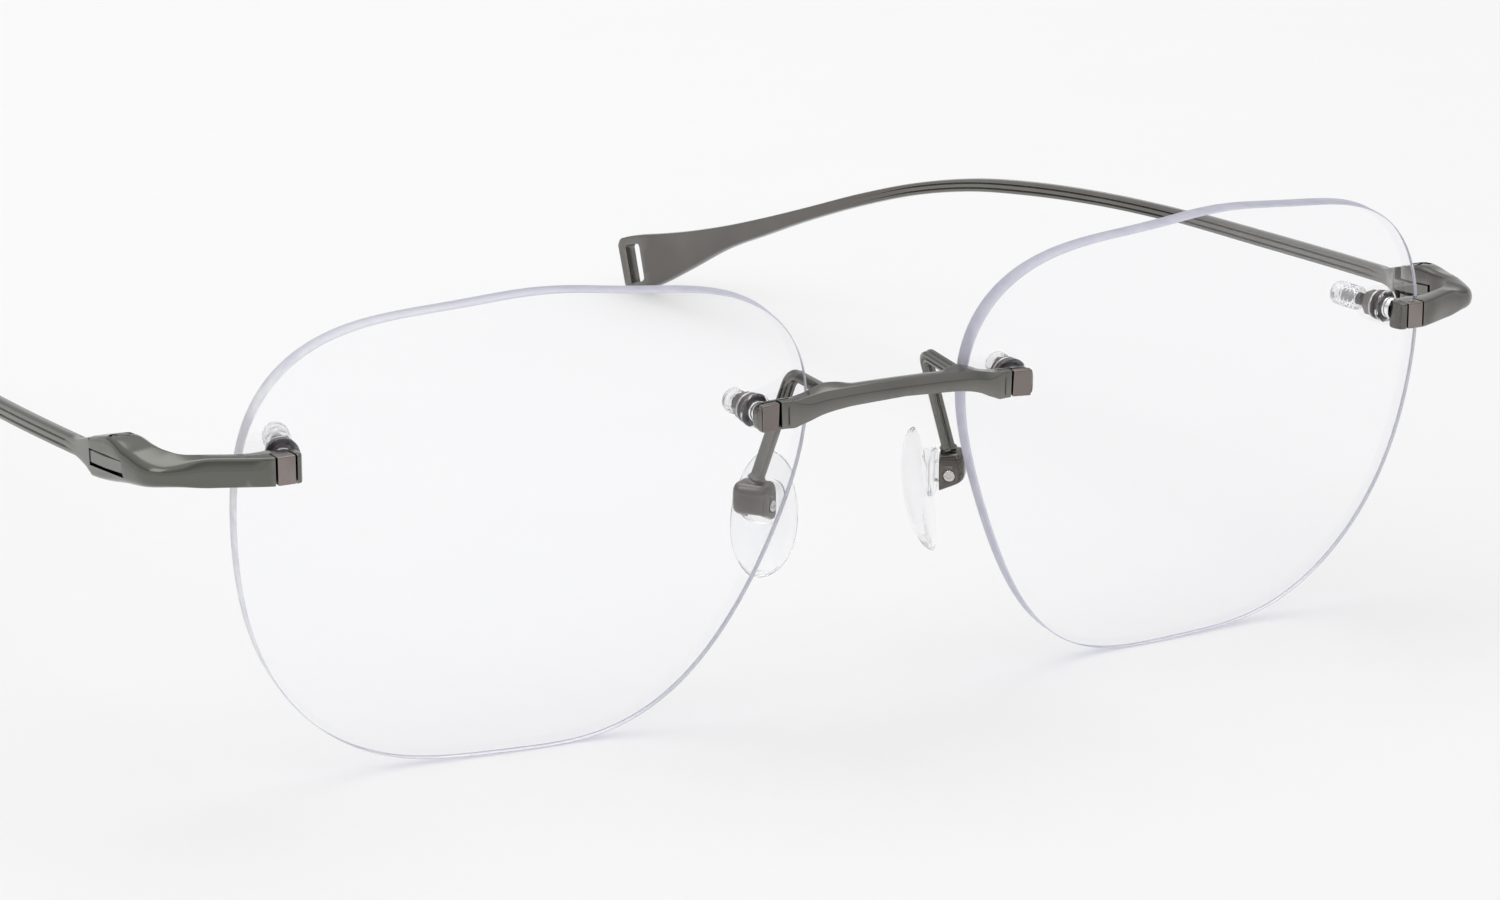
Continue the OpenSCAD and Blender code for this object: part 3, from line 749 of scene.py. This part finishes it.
# Lens mounts.
stackSpec = {
    # from and to along the stud
    "temporal": {"shaft": (-0.6, 6.8), "cap": (4.85, 7.9)},
    "nasal": {"shaft": (-0.5, 4.9), "cap": (4.35, 5.7)},
    "darkWasher": (2.06, 2.62), "steelWasher": (2.63, 2.88), "nut": (2.89, 3.79),
    # diameters, the nut's across its flats
    "flangeWide": 3.0, "sleeveWide": 1.9, "bore": 1.3, "darkWide": 2.8, "steelWide": 2.7, "nutWide": 2.1,
    "capWide": 2.3, "stud": 1.2,
    "threadStart": 3.85, "threadPitch": 0.3, "threadDepth": 0.07,
}


def buildWasher(span, width, soft):
    # a washer with softened rims
    (y0, y1), outer, inner = span, width / 2, stackSpec["bore"] / 2
    part = soft * 0.3
    return lathe([(y0, inner), (y0, outer - soft), (y0 + part, outer - part), (y0 + soft, outer),
                  (y1 - soft, outer), (y1 - part, outer - part), (y1, outer - soft), (y1, inner)], 40)


def buildBush():
    s, b, o = stackSpec["sleeveWide"] / 2, stackSpec["bore"] / 2, stackSpec["flangeWide"] / 2
    return lathe([(0.04, b), (0.04, s), (1.59, s), (1.59, o - 0.1), (1.62, o - 0.03), (1.7, o), (1.93, o),
                  (2.02, o - 0.04), (2.05, o - 0.14), (2.05, b)], 40)


def buildNut():
    low, high = stackSpec["nut"]
    r, b = stackSpec["nutWide"] / 2 / math.cos(math.radians(30)), 0.62
    return lathe([(low, b), (low, r - 0.12), (low + 0.08, r), (high - 0.08, r), (high, r - 0.12),
                  (high, b)], 6)


def capProfile(start, end):
    # outer skin, rounded end, then back down the bore; also gives the row where the end closes
    o, b = stackSpec["capWide"] / 2, stackSpec["bore"] / 2
    straight = end - 0.9
    profile = [(start, b), (start, o - 0.12), (start + 0.05, o - 0.04), (start + 0.13, o)]
    y = start + 0.3
    while y < straight - 0.2:       # moulded grip rings
        profile += [(y, o), (y + 0.08, o - 0.09), (y + 0.2, o - 0.09), (y + 0.28, o)]
        y += 0.42
    for k in range(9):
        a = math.radians(90 * k / 9)
        profile.append((straight + 0.9 * math.sin(a), o * math.cos(a)))
    profile.append((end, 0.022))
    closed = len(profile) - 1
    profile += [(end - 0.75, 0.022), (end - 0.75, b - 0.12), (end - 0.85, b)]
    return profile, closed


def buildCap(start, end):
    profile, closed = capProfile(start, end)
    around = [2 * math.pi * i / 36 for i in range(36)]
    bm = bmesh.new()
    loops = [[bm.verts.new((r * math.cos(a), y, r * math.sin(a))) for a in around] for y, r in profile]
    bm.faces.new(loops[closed])
    bm.faces.new(list(reversed(loops[closed + 1])))
    for row, (a, b) in enumerate(zip(loops, loops[1:] + loops[:1])):
        if row == closed:
            continue
        for i in range(36):
            j = (i + 1) % 36
            bm.faces.new((a[i], a[j], b[j], b[i]))
    bmesh.ops.recalc_face_normals(bm, faces=bm.faces)
    return bm


for kind, m in mounts.items():
    stack = [
        ("bush", "bush", buildBush(), "clear_plastic", clearBush, 32),
        ("darkWasher", "dark_washer", buildWasher(stackSpec["darkWasher"], stackSpec["darkWide"], 0.12),
         "dark_washer", darkWasher, 32),
        ("steelWasher", "metal_washer", buildWasher(stackSpec["steelWasher"], stackSpec["steelWide"], 0.07),
         "bright_metal", brightMetal, 32),
        ("nut", "nut", buildNut(), "gunmetal", gunmetal, 25),
        ("cap", "cap", buildCap(*stackSpec[kind]["cap"]), "clear_cap", clearCap, 32),
    ]
    for stem, node, bm, slotName, material, sharp in stack:
        bothSides(stem + kind.capitalize(), moved(bm, m), "front", f"{node}_{kind}", slotName, [material],
                  sharp=sharp)

# studs: a square head in the claw and a threaded shaft
for kind, m in mounts.items():
    low, high = stackSpec[kind]["shaft"]
    r = stackSpec["stud"] / 2 - stackSpec["threadDepth"]
    shaft = [(low, pinPoint), (low, r), (high - 0.15, r), (high, r - 0.12), (high, pinPoint)]
    if kind == "temporal":
        x0, x1 = endpieceSpec["headX"]
        z0, z1 = endpieceSpec["headZ"]
        head = boxBetween((x0, endpieceSpec["headFront"], z0), (x1, endpieceSpec["headRear"], z1))
    else:
        x0, x1 = bridgeSpec["headWidth"]
        head = moved(boxBetween((x0, bridgeSpec["headFront"], -1.2), (x1, bridgeSpec["headRear"], 1.2)), m)
    stud = carve(rounded(head, 0.14), additions=[moved(lathe(shaft, 28), m)])
    stud.normal_update()
    reach = m.inverted()
    for f in stud.faces:
        f.material_index = 1 if (reach @ f.calc_center_median()).y > 2.0 else 0
    bothSides("stud" + kind.capitalize(), stud, "front", f"stud_{kind}", "stud_metal", [warmMetal, stubMetal],
              sharp=50)
print("lens mounts built")


def threadTree():
    # one helix tree for all four studs
    tree = bpy.data.node_groups.new("studThread", "GeometryNodeTree")
    face = tree.interface
    face.new_socket("Geometry", in_out="INPUT", socket_type="NodeSocketGeometry")
    for label, default in (("Turns", 10.0), ("Radius", 0.6), ("Length", 3.0), ("Ridge", 0.07)):
        face.new_socket(label, in_out="INPUT", socket_type="NodeSocketFloat").default_value = default
    face.new_socket("Finish", in_out="INPUT", socket_type="NodeSocketMaterial")
    face.new_socket("Geometry", in_out="OUTPUT", socket_type="NodeSocketGeometry")
    nodes, links = tree.nodes, tree.links
    given, out = nodes.new("NodeGroupInput"), nodes.new("NodeGroupOutput")
    helix = nodes.new("GeometryNodeCurveSpiral")
    helix.inputs["Resolution"].default_value = 24
    links.new(given.outputs["Turns"], helix.inputs["Rotations"])
    links.new(given.outputs["Radius"], helix.inputs["Start Radius"])
    links.new(given.outputs["Radius"], helix.inputs["End Radius"])
    links.new(given.outputs["Length"], helix.inputs["Height"])
    profile = nodes.new("GeometryNodeCurvePrimitiveCircle")
    profile.inputs["Resolution"].default_value = 5
    links.new(given.outputs["Ridge"], profile.inputs["Radius"])
    skin = nodes.new("GeometryNodeCurveToMesh")
    skin.inputs["Fill Caps"].default_value = True
    links.new(helix.outputs[0], skin.inputs["Curve"])
    links.new(profile.outputs[0], skin.inputs["Profile Curve"])
    real, paint = nodes.new("GeometryNodeRealizeInstances"), nodes.new("GeometryNodeSetMaterial")
    links.new(skin.outputs[0], real.inputs[0])
    links.new(real.outputs[0], paint.inputs[0])
    links.new(given.outputs["Finish"], paint.inputs["Material"])
    links.new(paint.outputs[0], out.inputs[0])
    return tree


def fromTree(tree, values):
    # runs a tree on an empty mesh and returns what it made
    obj = scratchObject(bmesh.new(), "treeHost")
    mod = obj.modifiers.new("tree", "NODES")
    mod.node_group = tree
    for item in tree.interface.items_tree:
        if item.in_out == "INPUT" and item.name in values:
            mod[item.identifier] = values[item.name]
    bpy.context.view_layer.update()
    mesh = bpy.data.meshes.new_from_object(obj.evaluated_get(bpy.context.evaluated_depsgraph_get()))
    bm = bmesh.new()
    bm.from_mesh(mesh)
    host = obj.data
    bpy.data.objects.remove(obj)
    bpy.data.meshes.remove(host)
    bpy.data.meshes.remove(mesh)
    return bm


studThread = threadTree()
for kind, m in mounts.items():
    start, ridge = stackSpec["threadStart"], stackSpec["threadDepth"]
    length = stackSpec[kind]["shaft"][1] - 0.2 - start
    core = stackSpec["stud"] / 2 - ridge
    turns = length / stackSpec["threadPitch"]
    helix = fromTree(studThread, {"Turns": turns, "Length": length, "Radius": core, "Ridge": ridge,
                                  "Finish": stubMetal})
    stand = Matrix.Translation((0, start, 0)) @ Matrix.Rotation(math.radians(-90), 4, "X")
    bothSides("thread" + kind.capitalize(), moved(helix, m @ stand), "front", None, "stud_metal", [stubMetal],
              sharp=60)
print("threads built")

# Nose pads.
armSpec = {"root": (6.6, -0.75, 9.5), "corner": (6.95, 6.05, 9.98), "foot": (10.13, 6.9, 0.36),
           "radius": 1.25, "half": 0.52, "groove": 0.14,
           # the flared collar where the wire meets the box: distance past the foot, and how much wider
           "flares": [(-0.5, 1.1), (-0.42, 1.26), (-0.26, 1.32), (-0.14, 1.26), (-0.06, 1.08), (0.0, 1.2),
                      (0.1, 1.36), (0.3, 1.36)]}
padSpec = {"home": (10.5, 6.75, -1.0), "turn": 143.1, "axis": (0.2, 0.0, -0.6), "lean": 10.0,
           "height": 11.6, "width": 6.8, "thick": 2.1, "plate": (2.2, 2.1, -0.72),
           "body": (2.45, 0, -1.4), "drop": 0.9, "bore": 0.9}
boxSpec = {"deep": 1.14, "half": 1.74, "slant": 0.28, "bore": 0.84, "seat": (1.66, 1.2),
           # height, and share of the full size there
           "levels": [(-1.68, 0.5), (-1.62, 0.68), (-1.48, 0.86), (-1.2, 0.97), (-0.8, 1.0), (-0.2, 1.0),
                      (0.45, 0.99), (0.85, 0.93), (1.12, 0.82), (1.28, 0.66), (1.34, 0.48)],
           "hollow": ((-0.72, -1.02, -3), (4, 1.02, 0.62)),
           # a fold crease across the back and a hooked crease on each cheek
           "creases": [((-2, -0.62, 0.18), (-1.05, 0.5, 0.27)), ((-0.1, 1.66, 0.35), (0.75, 2, 0.44)),
                       ((-0.1, -2, 0.35), (0.75, -1.66, 0.44)), ((-0.19, 1.66, -0.15), (-0.1, 2, 0.44)),
                       ((-0.19, -2, -0.15), (-0.1, -1.66, 0.44))]}
padAt = Matrix.Translation(padSpec["home"]) @ Matrix.Rotation(math.radians(padSpec["turn"]), 4, "Z")
crossPin = Matrix.Translation(padSpec["axis"])


def armSection(centre, side, normal, grow):
    # rounded square wire with a flute down its broad faces
    h, g = armSpec["half"] * grow, armSpec["groove"]
    quarter = [(h, -0.62 * h), (h, -0.3 * h), (h - g, -0.06 * h), (h - g, 0.06 * h), (h, 0.3 * h),
               (h, 0.62 * h), (0.88 * h, 0.88 * h)]
    shape = []
    for face in range(4):
        shape += quarter
        quarter = [(-b, a) for a, b in quarter]
    return [centre + side * b + normal * a for a, b in shape]


def buildPadArm():
    root, corner, foot = (Vector(armSpec[k]) for k in ("root", "corner", "foot"))
    u, v = (corner - root).normalized(), (foot - corner).normalized()
    turn = u.angle(v)
    w = (v - u * u.dot(v)).normalized()
    n = u.cross(w)
    r = armSpec["radius"]
    back = r * math.tan(turn / 2)
    bend = corner - u * back
    # centre of each section, how far it has turned, and how much wider it is
    stations = [(root.lerp(bend, k / 7), 0.0, 1.0) for k in range(7)]
    for k in range(15):
        a = turn * k / 14
        stations.append((bend + w * r + u * r * math.sin(a) - w * r * math.cos(a), a, 1.0))
    knee = corner + v * back
    stations += [(knee.lerp(foot - v * 0.62, k / 9), turn, 1.0) for k in range(1, 10)]
    stations += [(foot + v * along, turn, grow) for along, grow in armSpec["flares"]]
    return loft([armSection(at, w * math.cos(a) - u * math.sin(a), n, grow) for at, a, grow in stations])


bothSides("padArm", buildPadArm(), "front", "pad_arm", "gunmetal", [gunmetal], sharp=42)


def buildPadBox():
    # a folded block, domed behind, open towards the pad
    deep = boxSpec["deep"]
    sections = []
    for z, s in boxSpec["levels"]:
        half = boxSpec["half"] * (0.45 + 0.55 * s)
        back = -deep * (0.1 + 0.9 * s)
        corners = [(back, -half, z), (deep, -half, z), (deep, half, z), (back, half, z)]
        sections.append(roundCorners(corners, [1.0 * s, 0.16, 0.16, 1.0 * s], 6))
    block = loft(sections)
    for v in block.verts:
        # the foot of the box slants down towards the nose
        if v.co.z < 0:
            v.co.z *= 1 + boxSpec["slant"] * v.co.x / deep
    seatFrom, seatWidth = boxSpec["seat"]
    cutters = [boxBetween(*boxSpec["hollow"]), moved(rod(-3, 3, boxSpec["bore"] / 2, 24), crossPin),
               moved(rod(seatFrom, 3, seatWidth / 2, 28), crossPin)]
    cutters += [boxBetween(*crease) for crease in boxSpec["creases"]]
    return moved(carve(block, cutters=cutters), padAt)


bothSides("padBox", buildPadBox(), "front", "pad_box", "gunmetal", [gunmetalPaintedDarker], sharp=34)


def buildPadScrew():
    profile = [(-2.0, pinPoint), (-1.98, 0.2), (-1.92, 0.36), (-1.84, 0.4), (1.68, 0.4), (1.68, 0.52),
               (1.84, 0.52), (1.93, 0.46), (1.97, 0.34), (1.95, 0.24), (1.9, 0.2), (1.9, pinPoint)]
    slot = boxBetween((-1, 1.86, -0.06), (1, 2.3, 0.06))
    return moved(carve(lathe(profile, 32), cutters=[slot]), padAt @ crossPin)


bothSides("padScrew", buildPadScrew(), "front", "pad_screw", "bright_metal", [brightMetal], sharp=30)


def padBody():
    # a soft clear teardrop: domed face, shallow back, rolled rim
    angles = [2 * math.pi * i / 72 for i in range(72)]
    hw, hh, t = padSpec["width"] / 2, padSpec["height"] / 2, padSpec["thick"]
    rows = [(k, True) for k in range(1, 11)] + [(k, False) for k in range(9, 0, -1)]
    sections = []
    for k, face in rows:
        f = math.sin(k / 10 * math.pi / 2)
        roll = math.sqrt(max(0.0, 1 - f ** 6))
        ring = []
        for a in angles:
            y = hw * math.cos(a) * (1 - 0.12 * math.sin(a)) * f
            z = hh * math.sin(a) * f
            rim = 0.42 + 0.16 * (y / hw) ** 2
            bulge = (y / hw) ** 2 * 0.25 + (z / hh) ** 2 * 0.75
            full = t - 1.08 * bulge if face else 0.1 * bulge
            ring.append(Vector((rim + (full - rim) * roll, y, z)))
        sections.append(ring)
    return moved(loft(sections), Matrix.Translation(padSpec["body"])
                 @ Matrix.Rotation(math.radians(padSpec["lean"]), 4, "Y")
                 @ Matrix.Translation((0, 0, -padSpec["drop"])))


def slab(x0, x1, hy, hz, zc, soft, power=4.0):
    # a superellipse slab with a rolled rim
    outline = []
    for i in range(48):
        a = 2 * math.pi * i / 48
        c, s = math.cos(a), math.sin(a)
        outline.append((hy * math.copysign(abs(c) ** (2 / power), c),
                        zc + hz * math.copysign(abs(s) ** (2 / power), s)))
    rings = []
    for x, inset in ((x0, soft), (x0 + soft * 0.3, soft * 0.3), (x0 + soft, 0), (x1 - soft, 0),
                     (x1 - soft * 0.3, soft * 0.3), (x1, soft)):
        paintedHighlightAcross, up = 1 - inset / hy, 1 - inset / hz
        rings.append([Vector((x, y * paintedHighlightAcross, zc + (z - zc) * up)) for y, z in outline])
    return loft(rings)


def buildNosePad():
    steps = [slab(1.58, 2.2, *padSpec["plate"], 0.16, 3.4), slab(2.1, 2.75, 1.5, 2.1, -0.75, 0.12, 2.6),
             slab(2.6, 3.25, 1.25, 2.3, -1.1, 0.12, 2.2)]
    lug = rounded(boxBetween((-0.55, -0.93, -1.5), (1.7, 0.93, 0.25)), 0.3)
    bore = moved(rod(-3, 3, padSpec["bore"] / 2, 24), crossPin)
    whole = carve(padBody(), additions=[*steps, lug], cutters=[bore])
    for f in whole.faces:
        f.material_index = 1 if f.calc_center_median().x < 2.4 else 0
    return moved(whole, padAt)


bothSides("nosePad", buildNosePad(), "pad", "nose_pad", "clear_pad", [clearPad, clearBoss], sharp=38)
print("nose pads built")

# Studio.
studio = {"floorColour": (0.885, 0.885, 0.885), "floorHalf": 4.0,
          # world brightness by height: (sine of elevation, level)
          "sky": [(0.0, 0.735), (0.07, 0.86), (0.15, 0.90), (0.27, 0.34), (0.42, 0.62), (0.80, 0.98)]}


def buildStudio():
    bm = bmesh.new()
    bmesh.ops.create_grid(bm, x_segments=1, y_segments=1, size=studio["floorHalf"])
    mesh = bpy.data.meshes.new("floor")
    bm.to_mesh(mesh)
    bm.free()
    floor = bpy.data.objects.new("floor", mesh)
    floor.location.z = -0.00002
    bpy.context.scene.collection.objects.link(floor)
    p = newPaint("paleFloor")
    grain = p.noise(40.0, 3.0)
    colour = p.blend(grain, studio["floorColour"], tuple(c * 0.985 for c in studio["floorColour"]))
    mesh.materials.append(p.surface(p.node("BsdfPrincipled", Base_Color=colour, Roughness=0.85)))
    world = bpy.data.worlds.new("studio")
    bpy.context.scene.world = world
    air = Paint(world, "OutputWorld", "Generated")
    height = air.value("SeparateXYZ", "Z", Vector=air.place)
    stops = [(where, (level, level, level * 1.01, 1)) for where, level in studio["sky"]]
    air.surface(air.node("Background", Color=air.value("ValToRGB", "Color", {"stops": stops}, Fac=height)))


def aimed(name, data, place, target):
    obj = bpy.data.objects.new(name, data)
    obj.location = place
    obj.rotation_euler = (Vector(target) - Vector(place)).to_track_quat("-Z", "Y").to_euler()
    bpy.context.scene.collection.objects.link(obj)
    return obj


def softLight(name, place, target, size, power):
    lamp = bpy.data.lights.new(name, "AREA")
    lamp.size, lamp.energy = size, power
    aimed(name, lamp, place, target)


buildStudio()
softLight("overhead", (0.1, 0.35, 0.9), (0, 0, 0), 0.8, 2.3)
softLight("leftFill", (-0.75, -0.2, 0.55), (0, 0, 0.02), 0.5, 1.0)

cameraSpec = {"place": (-0.196596, -0.415546, 0.131316), "aim": (-0.013984, -0.0772, 0.025975),
              "lens": 111.02, "film": 36.0}
optics = bpy.data.cameras.new("camera")
optics.lens, optics.sensor_width = cameraSpec["lens"], cameraSpec["film"]
optics.clip_start, optics.clip_end = 0.01, 20.0
bpy.context.scene.camera = aimed("camera", optics, cameraSpec["place"], cameraSpec["aim"])
bpy.context.scene.view_settings.view_transform = "Standard"
print("studio and camera set")
